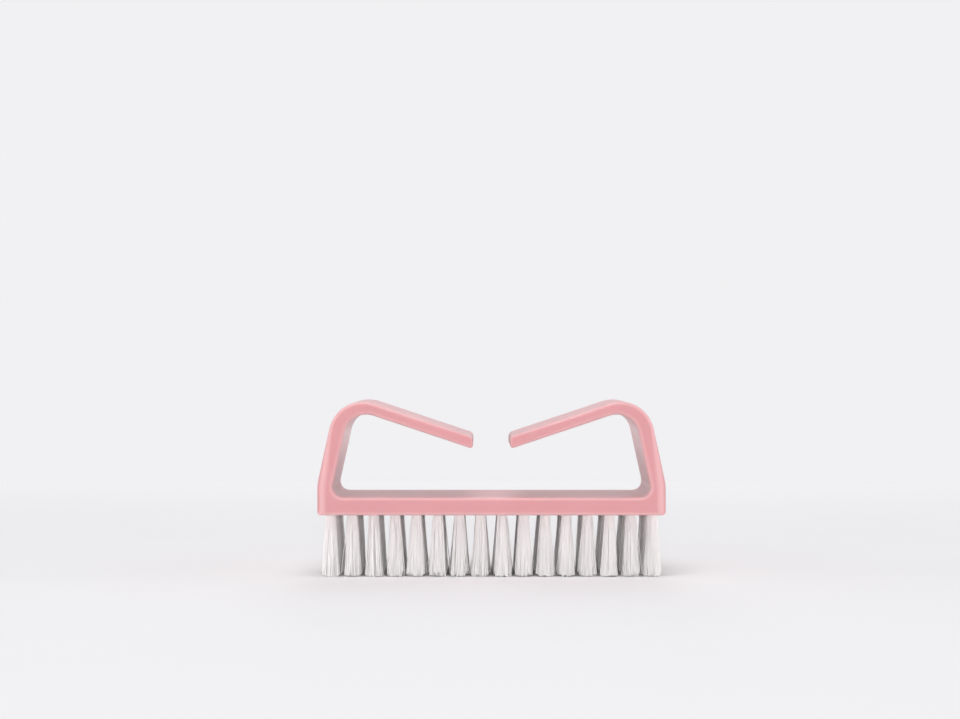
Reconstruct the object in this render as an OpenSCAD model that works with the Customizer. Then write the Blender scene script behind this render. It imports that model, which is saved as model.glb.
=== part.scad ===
// Nail brush: a block with two curled finger grips, moulded in one piece, and square-set
// tufts of bristle that flat metal anchors hold in blind holes in its underside.
// It stands on its bristle tips, at z = 0. X runs along the brush and Y across it.

/* [Block] */
// Length of the block, which is the length of the brush
block_l = 100; // [80:1:130]
// Width of the block and of the grips, front to back
block_w = 38.5; // [28:0.5:56]
// Thickness of the block
block_h = 5.2; // [4.7:0.1:9]
// Radius of the block's upright corners
corner_r = 2.8; // [1.8:0.1:3.1]
// Radius of the edge that runs round the grips and the top of the block
edge_r = 1.1; // [0.5:0.1:1.3]
// Radius of the edge round the underside
lip_r = 0.7; // [0.3:0.1:1.2]

/* [Grips] */
// Thickness of each leg, which rises from an end of the block
leg_t = 4.5; // [4.2:0.1:6]
// Thickness of each arm, which reaches from the bend towards the middle
arm_t = 3.4; // [3:0.1:5]
// Lean of the legs towards the middle, in degrees
leg_lean = 12.5; // [4:0.5:20]
// Fall of the arms towards the middle, in degrees
arm_fall = 18.5; // [8:0.5:24]
// Inside radius of the bend between leg and arm
bend_r = 6.5; // [4:0.1:9]
// Outside radius of the same bend
bend_outer_r = 10.1; // [8.5:0.1:12]
// Height of the bend's outer centre above the block
bend_h = 17.2; // [14:0.2:24]
// Gap between the ends of the two arms
arm_gap = 10.6; // [5:0.2:24]
// Radius of the upper corner of an arm's end
tip_top_r = 1.5; // [0.6:0.1:1.8]
// Radius of the lower corner of an arm's end
tip_low_r = 0.9; // [0.4:0.1:1.2]
// Radius inside the foot of a leg
foot_r = 3; // [1:0.1:5]
// Height above the block where a leg's outer face starts to lean
shoulder_h = 1.9; // [0.8:0.1:4]
// Radius of that start
shoulder_r = 15; // [8:0.5:24]

/* [Tufts] */
// Distance between tufts, the same both ways
tuft_pitch = 6.15; // [5.75:0.05:9]
// Least distance from the centre of a tuft to the edge of the block
tuft_margin = 3.7; // [3.2:0.1:8]
// Diameter of a tuft hole
hole_d = 3; // [2.2:0.1:3.8]
// Depth of a tuft hole
hole_depth = 3.8; // [3.3:0.1:4.2]
// Length of bristle that shows
bristle_h = 17.7; // [10:0.5:30]
// Width of a tuft where it is widest, at its tips
tuft_tip_w = 4.9; // [3.6:0.1:5.3]
// Most that a whole tuft leans, at its tips
tuft_lean = 0.3; // [0:0.05:0.35]
// How much shorter than the longest some bristles are
ragged = 0.9; // [0:0.1:2]
// Depth by which the longest bristles are cut level
level_cut = 0.5; // [0:0.1:1]

/* [Anchors] */
// Thickness of an anchor, cut from flat wire
anchor_t = 0.4; // [0.25:0.05:0.7]
// Height of an anchor
anchor_h = 1.4; // [1:0.1:1.6]
// Bite of an anchor's end into the wall of its hole
anchor_bite = 0.3; // [0.15:0.05:0.6]
// Bristle folded over an anchor, between it and the end of the hole
fold_h = 0.9; // [0.6:0.1:1.1]
// Clearance round each piece in the block
fit_gap = 0.05; // [0.02:0.01:0.1]

/* [Hidden] */
// Steps in a quarter of the rounded edge, and the steps beyond it in the upright corner
edge_steps = 4;
corner_step_shares = [0.4, 1];
// Steps round an arm's end, the bend, the shoulder and the foot
tip_steps = 4;
bend_steps = 16;
shoulder_steps = 2;
foot_steps = 6;
// Where the shoulder's steps meet the leg's inner face, from the bend down to the foot
shoulder_shares = [0.7, 0.82, 0.93];
// Least radius left on a corner where the rounded edge takes most of it
least_r = 0.15;
// Strands that stand for a tuft's bristle: one in the middle and the others round it
ring_strands = 4;
// A strand's width and its ring's radius at the hole, as shares of the tuft's diameter there
root_width_share = 0.275;
root_ring_share = 0.31;
// A strand's width at the tips, as a share of the tuft's width there
tip_width_share = 0.295;
// Length of strand inside the tuft's root
strand_root = 0.6;
// Turn of a tuft about its own middle, and play of one strand at its tip, both ways
tuft_turn = 45;
strand_play = 0.12;
scatter_seed = 7;
cut_over = 1;

block_z = bristle_h;
top_z = block_z + block_h;
columns = floor((block_l - 2 * tuft_margin) / tuft_pitch) + 1;
rows = floor((block_w - 2 * tuft_margin) / tuft_pitch) + 1;
strands = ring_strands + 1;
root_d = hole_d - 2 * fit_gap;
root_h = hole_depth - fit_gap;
anchor_l = hole_d + 2 * anchor_bite;
anchor_z = block_z + hole_depth - fold_h - anchor_h;
scatter = rands(-1, 1, columns * rows * (3 + 3 * strands), scatter_seed);

$fn = 32;

function column_name(kind, column) = str(kind, column < 10 ? "_0" : "_", column);

// How far a rounded edge of radius r has drawn the outline in, at depth d below the face
function drawn_in(r, d) = d < r ? r - sqrt(r * r - (r - d) * (r - d)) : 0;

function direction(angle) = [cos(angle), sin(angle)];

// Points on an arc, both its ends included
function arc(centre, r, from, to, steps) =
    [for (i = [0:steps]) centre + r * direction(from + (to - from) * i / steps)];

// The point whose distances along two directions from the origin are given
function meet(u, du, v, dv) =
    let (det = u[0] * v[1] - u[1] * v[0])
    [(du * v[1] - dv * u[1]) / det, (dv * u[0] - du * v[0]) / det];

// Centres of the arcs in the right half of the profile, all from the sizes of the grip
leg_out = direction(leg_lean);
arm_out = direction(90 + arm_fall);
shoulder_c = [block_l / 2 - shoulder_r, top_z + shoulder_h];
bend_outer_c = meet(
    leg_out, shoulder_c * leg_out + shoulder_r - bend_outer_r,
    [0, 1], top_z + bend_h
);
bend_inner_c = meet(
    leg_out, bend_outer_c * leg_out + bend_outer_r - leg_t - bend_r,
    arm_out, bend_outer_c * arm_out + bend_outer_r - arm_t - bend_r
);
foot_c = meet(
    leg_out, bend_inner_c * leg_out + bend_r - foot_r,
    [0, 1], top_z + foot_r
);

// Centre of a corner arc of radius r between an arm's end and one of its long faces,
// which lies at distance reach along out
function tip_c(out, reach, end_x, r) = meet(out, reach - r, [1, 0], end_x + r);

// The right half of the profile at depth d below the front or back face, from the arm's end
// to the block: the points of its outer side, and then the points opposite on its inner side
function outer_side(d) =
    let (
        e = drawn_in(edge_r, d),
        c = drawn_in(corner_r, d),
        r = max(tip_top_r - e, least_r),
        tip = tip_c(arm_out, bend_outer_c * arm_out + bend_outer_r - e, arm_gap / 2 + e, r),
        lip_c = [block_l / 2 - c - lip_r, block_z + drawn_in(lip_r, d) + lip_r]
    )
    concat(
        arc(tip, r, 180, 90 + arm_fall, tip_steps),
        arc(bend_outer_c, bend_outer_r - e, 90 + arm_fall, leg_lean, bend_steps),
        arc(shoulder_c, shoulder_r - c, leg_lean, 0, shoulder_steps),
        arc(lip_c, lip_r, 0, -90, foot_steps)
    );

function inner_side(d) =
    let (
        e = drawn_in(edge_r, d),
        r = max(tip_low_r - e, least_r),
        tip = tip_c(-arm_out, -(bend_inner_c * arm_out) - bend_r - e, arm_gap / 2 + e, r),
        leg_top = bend_inner_c + (bend_r + e) * leg_out,
        leg_foot = foot_c + (foot_r + e) * leg_out
    )
    concat(
        arc(tip, r, 180, 270 + arm_fall, tip_steps),
        arc(bend_inner_c, bend_r + e, 90 + arm_fall, leg_lean, bend_steps),
        [for (share = shoulder_shares) leg_top + share * (leg_foot - leg_top)],
        arc(foot_c, foot_r + e, leg_lean, -90, foot_steps)
    );

function reversed(list) = [for (i = [len(list) - 1:-1:0]) list[i]];

// The other half of a side, mirrored, from the block to the left arm's end
function both_halves(side) = concat(side, [for (p = reversed(side)) [-p[0], p[1]]]);

// Block, legs, bends and arms are one ribbon from arm's end to arm's end. Its outline repeats
// at each depth of the rounded edges, and its flat faces are strips between its two sides.
module moulding() {
    quarter = [for (i = [0:edge_steps]) edge_r * (1 - cos(90 * i / edge_steps))];
    beyond = [for (share = corner_step_shares) edge_r + share * (corner_r - edge_r)];
    depths = concat(quarter, beyond);
    levels = concat(
        [for (d = depths) [-block_w / 2 + d, d]],
        [for (d = reversed(depths)) [block_w / 2 - d, d]]
    );
    outline = [for (level = levels)
        concat(both_halves(outer_side(level[1])), reversed(both_halves(inner_side(level[1]))))];
    side = len(outline[0]) / 2;
    n = 2 * side;
    last = (len(levels) - 1) * n;
    points = [for (k = [0:len(levels) - 1]) for (p = outline[k]) [p[0], levels[k][0], p[1]]];
    walls = [for (k = [0:len(levels) - 2]) for (i = [0:n - 1])
        let (a = k * n + i, b = k * n + (i + 1) % n)
        each [[a, a + n, b + n], [a, b + n, b]]];
    front = [for (i = [0:side - 2]) let (opposite = n - 1 - i)
        each [[i, i + 1, opposite - 1], [i, opposite - 1, opposite]]];
    back = [for (f = front) [last + f[2], last + f[1], last + f[0]]];
    polyhedron(points = points, faces = concat(walls, front, back), convexity = 8);
}

// Places its child at each row of one column, on the underside of the block
module along_column(column) {
    x = (column - (columns + 1) / 2) * tuft_pitch;
    for (row = [1:rows])
        translate([x, (row - (rows + 1) / 2) * tuft_pitch, 0]) {
            $tuft = (column - 1) * rows + row - 1;
            children();
        }
}

// Flat wire, or its seat when gap is the clearance round it
module anchor(gap = 0) {
    translate([-anchor_l / 2 - gap, -anchor_t / 2 - gap, anchor_z - gap])
        cube([anchor_l + 2 * gap, anchor_t + 2 * gap, anchor_h + 2 * gap]);
}

module body() {
    color("pink")
    difference() {
        moulding();
        for (column = [1:columns])
            along_column(column) {
                translate([0, 0, block_z - cut_over]) cylinder(h = hole_depth + cut_over, d = hole_d);
                anchor(fit_gap);
            }
    }
}

function square_ring(centre, w, turn, z) =
    [for (i = [0:3]) let (p = centre + w / sqrt(2) * direction(turn + 45 + 90 * i)) [p[0], p[1], z]];

// A straight four-sided strand between two square rings, the first of them the higher
module strand(root, tip) {
    polyhedron(
        points = concat(root, tip),
        faces = concat(
            [[2, 1, 0], [3, 2, 0], [4, 5, 6], [4, 6, 7]],
            [for (i = [0:3]) let (j = (i + 1) % 4) each [[i, j, j + 4], [i, j + 4, i + 4]]]
        )
    );
}

// One strand of the current tuft: k = 0 stands in the middle and the others fan out
module tuft_strand(k) {
    at = $tuft * (3 + 3 * strands);
    play = [for (i = [0:2]) scatter[at + 3 + 3 * k + i]];
    turn = tuft_turn * scatter[at + 2] + (k == 0 ? 0 : 360 / ring_strands * k);
    out = k == 0 ? 0 : 1;
    root_w = root_width_share * root_d;
    tip_w = tip_width_share * tuft_tip_w;
    root_z = block_z + strand_root;
    end_z = (play[2] + 1) / 2 * (ragged + level_cut) - level_cut;
    foot_z = max(end_z, 0);
    reach = (root_z - foot_z) / (root_z - end_z);
    root_at = out * root_ring_share * root_d * direction(turn);
    end_at = out * (tuft_tip_w - tip_w) / 2 * direction(turn)
        + tuft_lean * [scatter[at], scatter[at + 1]] + strand_play * [play[0], play[1]];
    strand(
        square_ring(root_at, root_w, turn, root_z),
        square_ring(root_at + reach * (end_at - root_at), root_w + reach * (tip_w - root_w), turn, foot_z)
    );
}

// The tufts of one column. Each is folded over its anchor and fills its hole.
module tufts(column) {
    color("white")
    along_column(column)
        difference() {
            union() {
                translate([0, 0, block_z]) cylinder(h = root_h, d = root_d);
                for (k = [0:strands - 1]) tuft_strand(k);
            }
            anchor(fit_gap);
        }
}

// The anchors of one column, each through its tuft and into both sides of the hole
module anchors(column) {
    color("silver")
    along_column(column) anchor();
}

body();
for (column = [1:columns]) {
    tufts(column);
    anchors(column);
}
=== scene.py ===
import math
import random

import bmesh
import bpy
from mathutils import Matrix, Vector


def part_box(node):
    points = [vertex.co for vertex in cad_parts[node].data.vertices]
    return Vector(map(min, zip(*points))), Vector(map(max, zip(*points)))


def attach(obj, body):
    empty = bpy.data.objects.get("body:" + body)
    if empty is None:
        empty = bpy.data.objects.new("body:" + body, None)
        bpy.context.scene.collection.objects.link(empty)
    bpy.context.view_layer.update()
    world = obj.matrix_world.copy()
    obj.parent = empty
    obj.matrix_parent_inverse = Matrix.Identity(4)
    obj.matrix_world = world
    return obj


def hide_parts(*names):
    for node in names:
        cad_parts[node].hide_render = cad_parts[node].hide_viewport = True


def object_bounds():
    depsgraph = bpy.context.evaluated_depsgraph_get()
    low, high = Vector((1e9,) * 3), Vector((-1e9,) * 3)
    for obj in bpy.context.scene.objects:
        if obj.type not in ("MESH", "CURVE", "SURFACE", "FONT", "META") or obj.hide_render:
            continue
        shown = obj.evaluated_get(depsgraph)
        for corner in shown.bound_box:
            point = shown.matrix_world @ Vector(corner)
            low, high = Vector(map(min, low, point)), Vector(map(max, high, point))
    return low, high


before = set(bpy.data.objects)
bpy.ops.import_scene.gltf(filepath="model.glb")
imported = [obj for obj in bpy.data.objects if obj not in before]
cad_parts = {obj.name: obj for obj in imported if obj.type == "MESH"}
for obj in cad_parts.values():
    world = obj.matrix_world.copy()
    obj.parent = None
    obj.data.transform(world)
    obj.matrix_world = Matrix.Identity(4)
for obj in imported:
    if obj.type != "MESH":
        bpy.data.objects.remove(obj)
cadLow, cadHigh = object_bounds()
mm = 0.001

bodyLow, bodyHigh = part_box("body")
columnNames = sorted(name[-2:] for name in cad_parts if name.startswith("tufts_"))
columnPlaces = [sum(corner.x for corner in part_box("anchors_" + name)) / 2 for name in columnNames]
tuftPitch = (columnPlaces[-1] - columnPlaces[0]) / (len(columnPlaces) - 1)


class Signal:
    # One value in a node tree. Sums, products and the like of signals add Math nodes.

    def __init__(self, tree, socket=None):
        self.tree = tree
        self.socket = socket

    def node(self, kind, settings=None, sockets=None, output=0):
        made = self.tree.nodes.new(kind)
        for name, value in (settings or {}).items():
            setattr(made, name, value)
        for name, value in (sockets or {}).items():
            if isinstance(value, Signal):
                self.tree.links.new(value.socket, made.inputs[name])
            else:
                made.inputs[name].default_value = value
        return Signal(self.tree, made.outputs[output] if made.outputs else None)

    def math(self, operation, *values):
        return self.node("ShaderNodeMath", {"operation": operation}, dict(enumerate(values)))

    def __add__(self, other):
        return self.math("ADD", self, other)

    __radd__ = __add__

    def __sub__(self, other):
        return self.math("SUBTRACT", self, other)

    def __rsub__(self, other):
        return self.math("SUBTRACT", other, self)

    def __mul__(self, other):
        return self.math("MULTIPLY", self, other)

    __rmul__ = __mul__

    def __truediv__(self, other):
        return self.math("DIVIDE", self, other)

    def __rtruediv__(self, other):
        return self.math("DIVIDE", other, self)

    def __abs__(self):
        return self.math("ABSOLUTE", self)

    def held(self):
        # Kept between 0 and 1
        return self.math("MAXIMUM", self.math("MINIMUM", self, 1), 0)

    def objectPoint(self):
        return self.node("ShaderNodeTexCoord", output="Object")

    def stretched(self, factors):
        return self.node("ShaderNodeVectorMath", {"operation": "MULTIPLY"}, {0: self, 1: factors})

    def axis(self, name):
        return self.node("ShaderNodeSeparateXYZ", {}, {"Vector": self}, name)

    def noise(self, size, detail=2.0):
        # From about 0.2 to 0.8, in patches of about that size
        sockets = {"Vector": self, "Scale": 1 / size, "Detail": detail}
        return self.node("ShaderNodeTexNoise", {}, sockets, "Fac")

    def blend(self, first, second):
        # The first colour where this is 0 and the second where it is 1: sockets 6 and 7 of a colour Mix
        return self.node("ShaderNodeMix", {"data_type": "RGBA"}, {0: self, 6: first, 7: second}, 2)

    def bump(self, distance, strength=1.0):
        return self.node("ShaderNodeBump", {}, {"Height": self, "Distance": distance, "Strength": strength})


def material(name, build):
    made = bpy.data.materials.new(name)
    made.use_nodes = True
    made.node_tree.nodes.clear()
    start = Signal(made.node_tree)
    start.node("ShaderNodeOutputMaterial", {}, {"Surface": build(start)})
    return made


# The view: level, square to the front, and a little above the grips

view = {
    "frameWidth": 960,          # pixels
    "focal": 2240,              # pixels
    "distance": 640 * mm,       # from the front of the brush
    "x": -3.3 * mm,
    "height": 62.3 * mm,        # above the tips of the bristles
    "sensor": 36,               # millimetres, as Blender's cameras count
    "nearest": 0.01,
    "farthest": 50,
}


def makeCamera():
    data = bpy.data.cameras.new("camera")
    data.sensor_width = view["sensor"]
    data.lens = view["sensor"] * view["focal"] / view["frameWidth"]
    data.clip_start = view["nearest"]
    data.clip_end = view["farthest"]
    camera = bpy.data.objects.new("camera", data)
    camera.location = (view["x"], cadLow.y - view["distance"], view["height"])
    camera.rotation_euler = (math.radians(90), 0, 0)
    bpy.context.scene.collection.objects.link(camera)
    bpy.context.scene.camera = camera


makeCamera()

# The studio: a white floor that fades into a white background, and soft boxes

studio = {
    "backdrop": (0.88, 0.875, 0.89),
    "floor": (0.95, 0.945, 0.955),
    "floorRadius": 6.0,
    "floorSides": 64,
    "fadeFrom": 0.1,
    "fadeOver": 0.4,
    "mottleSize": 60 * mm,
    "mottleLeast": 0.98,
    "mottleRange": 0.04,
    "lampTarget": (0, 0, 25 * mm),
    "ambient": (0.98, 0.97, 1.0),
    "ambientStrength": 0.32,
}
# The low lamps light the bristles and legs, and don't shine in reflections
lamps = {
    "keyLamp": {"at": (-0.7, -0.7, 0.55), "size": 0.5, "watts": 0.8, "shine": True},
    "fillLamp": {"at": (0.8, -0.5, 0.5), "size": 0.7, "watts": 0.6, "shine": True},
    "topLamp": {"at": (-0.05, -0.2, 0.8), "size": 0.5, "watts": 2.5, "shine": True},
    "backLamp": {"at": (0.1, 0.65, 0.75), "size": 0.5, "watts": 1.2, "shine": True},
    "lowFrontLamp": {"at": (0, -0.8, 0.075), "size": 0.08, "watts": 2.5, "shine": False},
    "lowRearLamp": {"at": (0, 0.8, 0.1), "size": 0.2, "watts": 1.9, "shine": False},
    "lowLeftLamp": {"at": (-0.8, 0, 0.1), "size": 0.2, "watts": 1.7, "shine": False},
    "lowRightLamp": {"at": (0.8, 0, 0.1), "size": 0.2, "watts": 1.8, "shine": False},
}


def floorSurface(start):
    point = start.objectPoint()
    away = start.node("ShaderNodeVectorMath", {"operation": "LENGTH"}, {0: point}, "Value")
    fade = ((away - studio["fadeFrom"]) / studio["fadeOver"]).held()
    seen = start.node("ShaderNodeLightPath", output="Is Camera Ray")
    mottle = studio["mottleLeast"] + studio["mottleRange"] * point.noise(studio["mottleSize"])
    matt = start.node("ShaderNodeBsdfDiffuse", {}, {
        "Color": mottle.blend((0, 0, 0, 1), (*studio["floor"], 1))})
    white = start.node("ShaderNodeEmission", {}, {"Color": (*studio["backdrop"], 1)})
    return start.node("ShaderNodeMixShader", {}, {0: fade * seen, 1: matt, 2: white})


def makeStudio():
    bm = bmesh.new()
    bmesh.ops.create_circle(bm, cap_ends=True, segments=studio["floorSides"], radius=studio["floorRadius"])
    mesh = bpy.data.meshes.new("floor")
    bm.to_mesh(mesh)
    bm.free()
    floor = bpy.data.objects.new("floor", mesh)
    bpy.context.scene.collection.objects.link(floor)
    mesh.materials.append(material("whiteFloor", floorSurface))

    for name, lamp in lamps.items():
        data = bpy.data.lights.new(name, "AREA")
        data.shape = "SQUARE"
        data.size = lamp["size"]
        data.energy = lamp["watts"]
        box = bpy.data.objects.new(name, data)
        box.location = lamp["at"]
        aim = Vector(studio["lampTarget"]) - Vector(lamp["at"])
        box.rotation_euler = aim.to_track_quat("-Z", "Y").to_euler()
        box.visible_camera = False
        box.visible_glossy = lamp["shine"]
        bpy.context.scene.collection.objects.link(box)

    world = bpy.data.worlds.new("studioLight")
    world.use_nodes = True
    world.node_tree.nodes.clear()
    start = Signal(world.node_tree)
    path = {name: start.node("ShaderNodeLightPath", output=name)
            for name in ("Is Camera Ray", "Is Glossy Ray", "Is Transmission Ray")}
    seen = (path["Is Camera Ray"] + path["Is Glossy Ray"] + path["Is Transmission Ray"]).held()
    light = start.node("ShaderNodeBackground", {}, {
        "Color": (*studio["ambient"], 1), "Strength": studio["ambientStrength"]})
    white = start.node("ShaderNodeBackground", {}, {"Color": (*studio["backdrop"], 1)})
    both = start.node("ShaderNodeMixShader", {}, {0: seen, 1: light, 2: white})
    start.node("ShaderNodeOutputWorld", {}, {"Surface": both})
    bpy.context.scene.world = world


makeStudio()
bpy.context.scene.view_settings.view_transform = "Standard"
print("camera and studio made")

# The moulding: block, legs, bends and arms are one ribbon of plastic

moulding = {
    "blockHeight": 5.2 * mm,
    "edgeRadius": 1.1 * mm,         # round the grips and the top of the block
    "cornerRadius": 2.8 * mm,       # upright corners of the block
    "lipRadius": 1.0 * mm,          # round the underside
    "tipEdgeRadius": 0.75 * mm,     # at an arm's end, whose lower corner leaves no room for more
    "legThickness": 4.5 * mm,
    "armThickness": 3.4 * mm,
    "legLean": math.radians(12.5),
    "armFall": math.radians(18.5),
    "bendRadius": 6.5 * mm,
    "bendOuterRadius": 10.1 * mm,
    "bendHeight": 17.2 * mm,        # of the outer bend's centre above the block
    "armGap": 10.6 * mm,
    "tipTopRadius": 1.5 * mm,
    "tipLowRadius": 0.9 * mm,
    "footRadius": 3 * mm,
    "shoulderHeight": 1.9 * mm,
    "shoulderRadius": 15 * mm,
    "holeDiameter": 3 * mm,
    "holeDepth": 3.8 * mm,
    "holeMouth": 0.15 * mm,         # rounding of a hole's edge
    "tipRun": 12 * mm,              # over which an arm's edge grows to its full radius
    "shoulderSteps": 6,
    "bendOuterSteps": 26,
    "tipTopSteps": 8,
    "tipLowSteps": 6,
    "bendSteps": 22,
    "footSteps": 12,
    "edgeSteps": 7,
    "holeSteps": 28,
    "straightLeast": 8 * mm,        # shortest edge of the profile that is cut up
    "straightCuts": 15,
    "sharpAngle": math.radians(40),
}
mouldingLook = {
    "pink": (0.70, 0.34, 0.356),
    "deepPink": (0.67, 0.306, 0.322),
    "paintedHighlightPink": (0.82, 0.535, 0.545),  # a painted highlight on the rolled edges, for the light they catch from above and below
    "paintedHighlightShare": 0.5,
    "highlightRise": 1.6,                # how soon the painted highlight is full, from the face inwards
    "highlightFall": 3,                  # how late it gives way again, towards the other face
    "driftSize": 14 * mm,
    "roughness": 0.32,
    "roughnessDrift": 0.05,
    "roughnessSize": 3 * mm,
    "skinSize": 3 * mm,
    "skinDepth": 0.004 * mm,
    "seamWidth": 0.16 * mm,         # of the parting line, half-way from front to back
    "seamHeight": 0.03 * mm,
    "ior": 1.49,
    "glow": 0.30,                   # share of light that goes through the plastic
    "glowReach": (3.0, 1.2, 1.1),   # millimetres by colour
}
touching = 0.001 * mm               # places nearer than this count as the same


def meet(u, du, v, dv):
    # The point whose distances along two directions are given
    det = u.x * v.y - u.y * v.x
    return Vector(((du * v.y - dv * u.y) / det, (dv * u.x - du * v.x) / det))


def profileCorners():
    # Sharp corners of the right half of the profile, from the block to the arm and back:
    # the place of each, its radius, and the steps of its arc
    m = moulding
    legOut = Vector((math.cos(m["legLean"]), math.sin(m["legLean"])))
    armOut = Vector((-math.sin(m["armFall"]), math.cos(m["armFall"])))
    top = bodyLow.z + m["blockHeight"]
    level = Vector((0, 1))
    side = Vector((1, 0))
    shoulder = Vector((bodyHigh.x - m["shoulderRadius"], top + m["shoulderHeight"]))
    legReach = shoulder.dot(legOut) + m["shoulderRadius"]
    bend = meet(legOut, legReach - m["bendOuterRadius"], level, top + m["bendHeight"])
    armReach = bend.dot(armOut) + m["bendOuterRadius"]
    legInner = legReach - m["legThickness"]
    armInner = armReach - m["armThickness"]
    end = m["armGap"] / 2
    return [
        (Vector((bodyHigh.x, bodyLow.z)), 0, 0),
        (meet(legOut, legReach, side, bodyHigh.x), m["shoulderRadius"], m["shoulderSteps"]),
        (meet(legOut, legReach, armOut, armReach), m["bendOuterRadius"], m["bendOuterSteps"]),
        (meet(armOut, armReach, side, end), m["tipTopRadius"], m["tipTopSteps"]),
        (meet(armOut, armInner, side, end), m["tipLowRadius"], m["tipLowSteps"]),
        (meet(armOut, armInner, legOut, legInner), m["bendRadius"], m["bendSteps"]),
        (meet(legOut, legInner, level, top), m["footRadius"], m["footSteps"]),
    ]


def roundCorner(bm, corner, radius, steps):
    before, after = (edge.other_vert(corner).co - corner.co for edge in corner.link_edges)
    slide = radius / math.tan(before.angle(after) / 2)
    bmesh.ops.bevel(bm, geom=[corner], offset=slide, offset_type="OFFSET", segments=steps, profile=0.5,
                    affect="VERTICES", material=-1)


def makeProfile(bm):
    half = profileCorners()
    corners = []
    for turn, places in ((1, half), (-1, half[::-1])):
        for place, radius, steps in places:
            corners.append((bm.verts.new((turn * place.x, bodyLow.y, place.y)), radius, steps))
    bm.faces.new([corner for corner, radius, steps in corners])
    for corner, radius, steps in corners:
        if radius:
            roundCorner(bm, corner, radius, steps)
    straight = [edge for edge in bm.edges if isGripStraight(edge)]
    bmesh.ops.bisect_edges(bm, edges=straight, cuts=moulding["straightCuts"])


def isGripStraight(edge):
    # A long straight edge of a leg or an arm
    ends = [vert.co for vert in edge.verts]
    return edge.calc_length() > moulding["straightLeast"] and ends[0].x * ends[1].x > 0


def share(value, low, high):
    return min(max((value - low) / (high - low), 0), 1)


def edgeRadiusAt(edge):
    # How far an edge of the moulding is rounded. It changes only along the straights.
    m = moulding
    ends = [vert.co for vert in edge.verts]
    middle = (ends[0] + ends[1]) / 2
    onEnd = abs(abs(middle.x) - bodyHigh.x) < touching
    onFace = abs(ends[0].y - ends[1].y) < touching and abs(abs(middle.y) - bodyHigh.y) < touching
    if max(ends[0].z, ends[1].z) < bodyLow.z + touching:
        return m["lipRadius"] if onFace or onEnd else 0
    if not onFace:
        return 0
    top = bodyLow.z + m["blockHeight"]
    legLow = top + m["shoulderHeight"] + m["shoulderRadius"] * math.sin(m["legLean"])
    legHigh = top + m["bendHeight"] + m["bendOuterRadius"] * math.sin(m["legLean"])
    legLine = bodyHigh.x - max(0, middle.z - legLow) * math.tan(m["legLean"])
    if abs(middle.x) > legLine - m["legThickness"] / 2:
        return m["cornerRadius"] + share(middle.z, legLow, legHigh) * (m["edgeRadius"] - m["cornerRadius"])
    if middle.z < top + m["footRadius"]:
        return m["edgeRadius"]
    tip = m["armGap"] / 2 + m["tipTopRadius"]
    along = share(abs(middle.x), tip, tip + m["tipRun"])
    return m["tipEdgeRadius"] + along * (m["edgeRadius"] - m["tipEdgeRadius"])


def weighEdges(bm):
    # Gives each edge the share of the largest radius that the Bevel modifier is to use
    layer = bm.edges.layers.float.new("bevel_weight_edge")
    for edge in bm.edges:
        edge[layer] = edgeRadiusAt(edge) / moulding["cornerRadius"]


def vertsOf(items):
    return [item for item in items if isinstance(item, bmesh.types.BMVert)]


def makeCutters(places):
    # One mesh of all the tuft holes, to be cut from the block
    m = moulding
    bm = bmesh.new()
    radius = m["holeDiameter"] / 2
    mouth = m["holeMouth"]
    depth = m["holeDepth"]
    outline = [(0, -mouth), (radius + 2 * mouth, -mouth), (radius, mouth), (radius, depth), (0, depth)]
    verts = [bm.verts.new((x, 0, bodyLow.z + z)) for x, z in outline]
    edges = [bm.edges.new(pair) for pair in zip(verts, verts[1:])]
    bmesh.ops.spin(bm, geom=verts + edges, cent=(0, 0, 0), axis=(0, 0, 1), angle=2 * math.pi,
                   steps=m["holeSteps"], use_merge=True, use_duplicate=False)
    bmesh.ops.remove_doubles(bm, verts=bm.verts, dist=touching)
    bmesh.ops.recalc_face_normals(bm, faces=bm.faces)
    first = list(bm.verts) + list(bm.edges) + list(bm.faces)
    for x, y in places:
        copied = bmesh.ops.duplicate(bm, geom=first)["geom"]
        bmesh.ops.translate(bm, verts=vertsOf(copied), vec=(x, y, 0))
    bmesh.ops.delete(bm, geom=vertsOf(first), context="VERTS")
    mesh = bpy.data.meshes.new("tuftHoles")
    bm.to_mesh(mesh)
    bm.free()
    cutter = bpy.data.objects.new("tuftHoles", mesh)
    bpy.context.scene.collection.objects.link(cutter)
    return cutter


def finalMesh(piece):
    # The piece's mesh with its modifiers applied
    graph = bpy.context.evaluated_depsgraph_get()
    mesh = bpy.data.meshes.new_from_object(piece.evaluated_get(graph))
    piece.modifiers.clear()
    piece.data = mesh
    return mesh


def paintedHighlightMask(depth, radius):
    # Where the painted highlight goes: 1 on an edge that is rounded with this radius and 0 on the faces
    # beside it, by the depth below one face
    near = (1 - depth / radius).held()
    slope = near.math("SQRT", 1 - near * near)
    return (mouldingLook["highlightRise"] * slope).held() * (mouldingLook["highlightFall"] * near).held()


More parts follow.
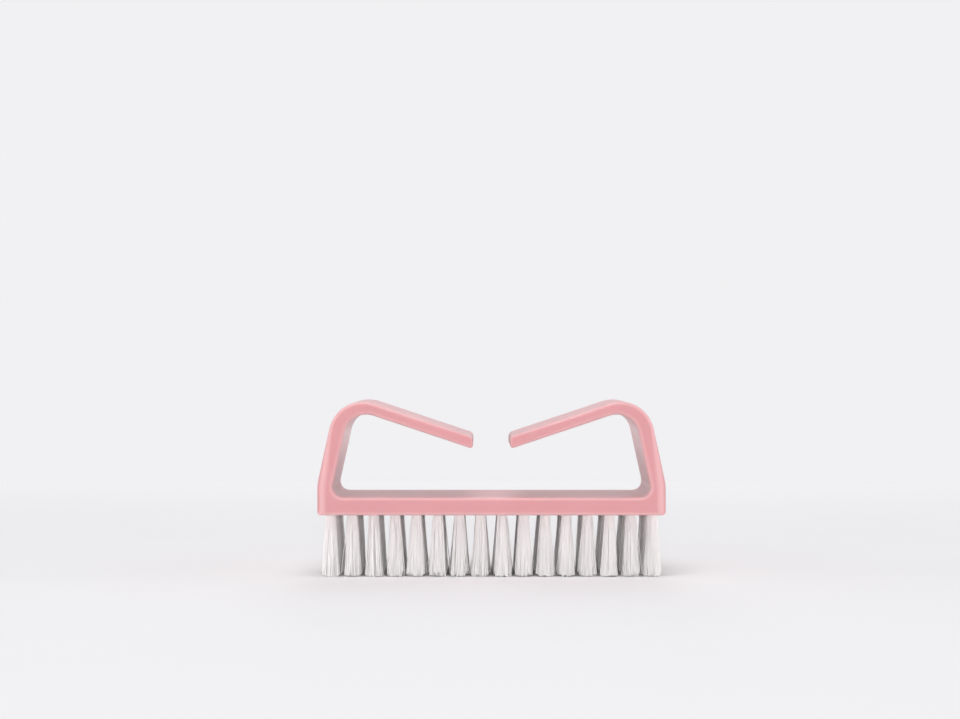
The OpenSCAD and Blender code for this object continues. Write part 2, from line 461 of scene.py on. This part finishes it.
def mouldingSurface(start):
    look = mouldingLook
    point = start.objectPoint()
    drift = point.noise(look["driftSize"], 3)
    colour = drift.blend((*look["deepPink"], 1), (*look["pink"], 1))
    # Painted highlight: the rolled front and back edges and the lip under the block are made paler, for the
    # light they catch
    upright = paintedHighlightMask(bodyHigh.y - abs(point.axis("Y")), moulding["edgeRadius"])
    lip = paintedHighlightMask(point.axis("Z") - bodyLow.z, moulding["lipRadius"])
    paintedHighlight = look["paintedHighlightShare"] * upright.math("MAXIMUM", upright, lip)
    colour = paintedHighlight.blend(colour, (*look["paintedHighlightPink"], 1))
    rough = look["roughness"] + look["roughnessDrift"] * (point.noise(look["roughnessSize"], 4) - 0.5)
    seam = (1 - abs(point.axis("Y")) / (look["seamWidth"] / 2)).held()
    skin = point.noise(look["skinSize"], 1).bump(look["skinDepth"])
    relief = start.node("ShaderNodeBump", {}, {
        "Height": seam, "Distance": look["seamHeight"], "Normal": skin})
    return start.node("ShaderNodeBsdfPrincipled", {"subsurface_method": "RANDOM_WALK"}, {
        "Base Color": colour, "Roughness": rough, "Normal": relief, "IOR": look["ior"],
        "Subsurface Weight": look["glow"], "Subsurface Radius": look["glowReach"], "Subsurface Scale": mm})


def tuftPlaces():
    # The middles of the tufts, column by column and from front to back
    low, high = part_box("anchors_" + columnNames[0])
    rows = round((high.y - low.y) / tuftPitch) + 1
    return [[(x, (row - (rows - 1) / 2) * tuftPitch) for row in range(rows)] for x in columnPlaces]


def makeMoulding():
    bm = bmesh.new()
    makeProfile(bm)
    grown = bmesh.ops.extrude_face_region(bm, geom=list(bm.faces))["geom"]
    bmesh.ops.translate(bm, verts=vertsOf(grown), vec=(0, bodyHigh.y - bodyLow.y, 0))
    bmesh.ops.recalc_face_normals(bm, faces=bm.faces)
    weighEdges(bm)
    mesh = bpy.data.meshes.new("moulding")
    bm.to_mesh(mesh)
    bm.free()
    piece = bpy.data.objects.new("moulding", mesh)
    bpy.context.scene.collection.objects.link(piece)

    cutter = makeCutters([place for column in tuftPlaces() for place in column])
    bevel = piece.modifiers.new("roundedEdges", "BEVEL")
    bevel.limit_method = "WEIGHT"
    bevel.width = moulding["cornerRadius"]
    bevel.segments = moulding["edgeSteps"]
    bevel.profile = 0.5
    bevel.use_clamp_overlap = False
    holes = piece.modifiers.new("tuftHoles", "BOOLEAN")
    holes.object = cutter
    holes.solver = "EXACT"
    mesh = finalMesh(piece)
    bpy.data.objects.remove(cutter)

    mesh.shade_smooth()
    mesh.set_sharp_from_angle(angle=moulding["sharpAngle"])
    piece.modifiers.new("evenShade", "WEIGHTED_NORMAL").keep_sharp = True
    mesh.materials.clear()
    mesh.materials.append(material("pinkPlastic", mouldingSurface))
    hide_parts("body")
    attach(piece, "root")


makeMoulding()
print("moulding made")

# The tufts: filaments that are each folded over an anchor, so both their ends show

tuft = {
    "ends": 190,                    # places for the ends of the filaments at the mouth of a hole
    "filamentRadius": 0.1 * mm,
    "mouthRadius": 1.38 * mm,       # of the circle of places at the hole
    "tipRadius": 2.46 * mm,         # of the same circle at the tips
    "lean": 0.22 * mm,              # of a whole tuft
    "lockSides": 14,                # a tuft is a bundle of locks, in rings with this many to a ring
    "lockRings": 3,
    "ringTwist": 0.37,              # share of a turn between a ring and the one inside it
    "lockLean": 0.13 * mm,
    "lockRise": 1.5 * mm,           # how much shorter than the rest a lock may be
    "scatter": 0.1 * mm,            # of one filament's tip
    "strayShare": 0.06,
    "strayPush": 0.38,              # how much further out than its place a stray may end
    "bow": 0.12 * mm,
    "trumpet": 1.15,                # 1 would flare in straight lines
    "ragged": 0.65 * mm,            # how much shorter than its lock a filament may be
    "floorGap": 0.03 * mm,          # under the middle of the lowest tip
    "levelPower": 2.6,              # how many of the tips lie near the lowest
    "flareShares": (0.0, 0.3, 0.62, 0.85, 1.0),
    "anchorClear": 0.3 * mm,        # from the middle of an anchor to the nearest filament
    "anchorSpread": 0.78,           # of the filaments there, as a share of that at the mouth
    "foldLow": 0.15,                # share of the room over an anchor that the lowest fold takes
    "foldRange": 0.75,
    "seed": 11,
}
bristleLook = {
    "white": (0.985, 0.96, 0.955),
    "milky": (0.955, 0.925, 0.92),
    "paintedRootShade": (0.94, 0.87, 0.86),  # painted shade and pink bounce light under the block, towards the roots
    "paintedRootShadeShare": 0.6,
    "strandSize": 0.35 * mm,
    "strandStretch": 0.03,
    "roughness": 0.38,
    "roughnessDrift": 0.1,
    "roughnessSize": 1 * mm,
    "ior": 1.53,
}


def bristleSurface(start):
    look = bristleLook
    point = start.objectPoint()
    strand = point.stretched((1, 1, look["strandStretch"])).noise(look["strandSize"], 1)
    colour = strand.blend((*look["milky"], 1), (*look["white"], 1))
    height = (point.axis("Z") / bodyLow.z).held()
    # Painted shade and pink bounce light: darker and pinker towards the roots, under the block
    colour = (look["paintedRootShadeShare"] * height * height).blend(colour, (*look["paintedRootShade"], 1))
    rough = look["roughness"] + look["roughnessDrift"] * (point.noise(look["roughnessSize"]) - 0.5)
    return start.node("ShaderNodeBsdfPrincipled", {}, {
        "Base Color": colour, "Roughness": rough, "IOR": look["ior"]})


def makeLocks(draw):
    # Where the tip of each lock of a tuft goes, from its place in an even flare
    t = tuft
    lean = [draw.uniform(-t["lean"], t["lean"]) for i in range(2)]
    return [(lean[0] + draw.gauss(0, t["lockLean"]), lean[1] + draw.gauss(0, t["lockLean"]),
             t["lockRise"] * draw.random() ** t["levelPower"])
            for i in range(t["lockSides"] * t["lockRings"])]


def lockOf(mouth, locks):
    # The lock that holds the filament at this place in the mouth of the hole
    t = tuft
    ring = min(int(t["lockRings"] * math.hypot(*mouth) / t["mouthRadius"]), t["lockRings"] - 1)
    turn = math.atan2(mouth[1], mouth[0]) / (2 * math.pi) + 0.5 + t["ringTwist"] * ring
    side = int(t["lockSides"] * turn)
    return locks[ring * t["lockSides"] + side % t["lockSides"]]


def filamentPath(centre, mouth, anchorTop, draw, locks):
    # Half of a folded filament, from its tip up to its fold over the anchor
    t = tuft
    x, y = mouth
    flare = t["tipRadius"] / t["mouthRadius"]
    lock = lockOf(mouth, locks)
    push = t["strayPush"] * draw.random() if draw.random() < t["strayShare"] else 0
    tip = [(flare * place) * (1 + push) + lock[i] + draw.gauss(0, t["scatter"])
           for i, place in enumerate(mouth)]
    bow = [draw.gauss(0, t["bow"]) for i in range(2)]
    end = t["floorGap"] + lock[2] + t["ragged"] * draw.random() ** t["levelPower"]
    points = []
    for down in t["flareShares"][::-1]:
        out = down ** t["trumpet"]
        swing = math.sin(math.pi * down)
        points.append((centre[0] + x + out * (tip[0] - x) + swing * bow[0],
                       centre[1] + y + out * (tip[1] - y) + swing * bow[1],
                       bodyLow.z + down * (end - bodyLow.z)))
    spread = math.copysign(t["anchorClear"] + abs(y) * t["anchorSpread"], y)
    points.append((centre[0] + x, centre[1] + spread, anchorTop))
    return points


def addFilaments(curve, centre, anchorTop, foldHeight, draw):
    t = tuft
    locks = makeLocks(draw)
    golden = math.pi * (3 - math.sqrt(5))
    turn = draw.uniform(0, 2 * math.pi)
    for i in range(t["ends"]):
        reach = t["mouthRadius"] * math.sqrt((i + 0.5) / t["ends"])
        x = reach * math.cos(turn + i * golden)
        y = reach * math.sin(turn + i * golden)
        if y < 0:
            continue
        near = filamentPath(centre, (x, y), anchorTop, draw, locks)
        far = filamentPath(centre, (x, -y), anchorTop, draw, locks)
        fold = anchorTop + foldHeight * (t["foldLow"] + t["foldRange"] * y / t["mouthRadius"])
        points = near + [(centre[0] + x, centre[1], fold)] + far[::-1]
        spline = curve.splines.new("POLY")
        spline.points.add(len(points) - 1)
        spline.points.foreach_set("co", [value for point in points for value in (*point, 1)])
        spline.use_smooth = True


def makeBristles(name, places, finish, draw):
    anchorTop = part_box("anchors_" + name)[1].z
    foldHeight = bodyLow.z + moulding["holeDepth"] - anchorTop
    curve = bpy.data.curves.new("bristles_" + name, "CURVE")
    curve.dimensions = "3D"
    curve.bevel_depth = tuft["filamentRadius"]
    curve.bevel_resolution = 0
    curve.use_fill_caps = True
    for place in places:
        addFilaments(curve, place, anchorTop, foldHeight, draw)
    strung = bpy.data.objects.new("strung", curve)
    bpy.context.scene.collection.objects.link(strung)
    graph = bpy.context.evaluated_depsgraph_get()
    mesh = bpy.data.meshes.new_from_object(strung.evaluated_get(graph))
    bpy.data.objects.remove(strung)
    piece = bpy.data.objects.new("bristles_" + name, mesh)
    bpy.context.scene.collection.objects.link(piece)
    mesh.materials.clear()
    mesh.materials.append(finish)
    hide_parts("tufts_" + name)
    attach(piece, "root")


draw = random.Random(tuft["seed"])
nylon = material("whiteNylon", bristleSurface)
for name, places in zip(columnNames, tuftPlaces()):
    makeBristles(name, places, nylon, draw)
print("bristles made")

# The anchors keep their CAD shape: flat wire, cut to length

anchorLook = {
    "steel": (0.60, 0.59, 0.56),
    "dull": (0.42, 0.41, 0.39),
    "roughness": 0.34,
    "roughnessDrift": 0.2,
    "drawSize": 0.12 * mm,
    "drawStretch": 0.04,
    "drawDepth": 0.004 * mm,
}


def anchorSurface(start):
    look = anchorLook
    point = start.objectPoint()
    lines = point.stretched((look["drawStretch"], 1, 1)).noise(look["drawSize"], 2)
    colour = lines.blend((*look["dull"], 1), (*look["steel"], 1))
    rough = look["roughness"] + look["roughnessDrift"] * (lines - 0.5)
    return start.node("ShaderNodeBsdfPrincipled", {}, {
        "Base Color": colour, "Metallic": 1.0, "Roughness": rough, "Normal": lines.bump(look["drawDepth"])})


wire = material("flatWire", anchorSurface)
for name in columnNames:
    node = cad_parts["anchors_" + name]
    node.data.materials.clear()
    node.data.materials.append(wire)
print("anchors finished")
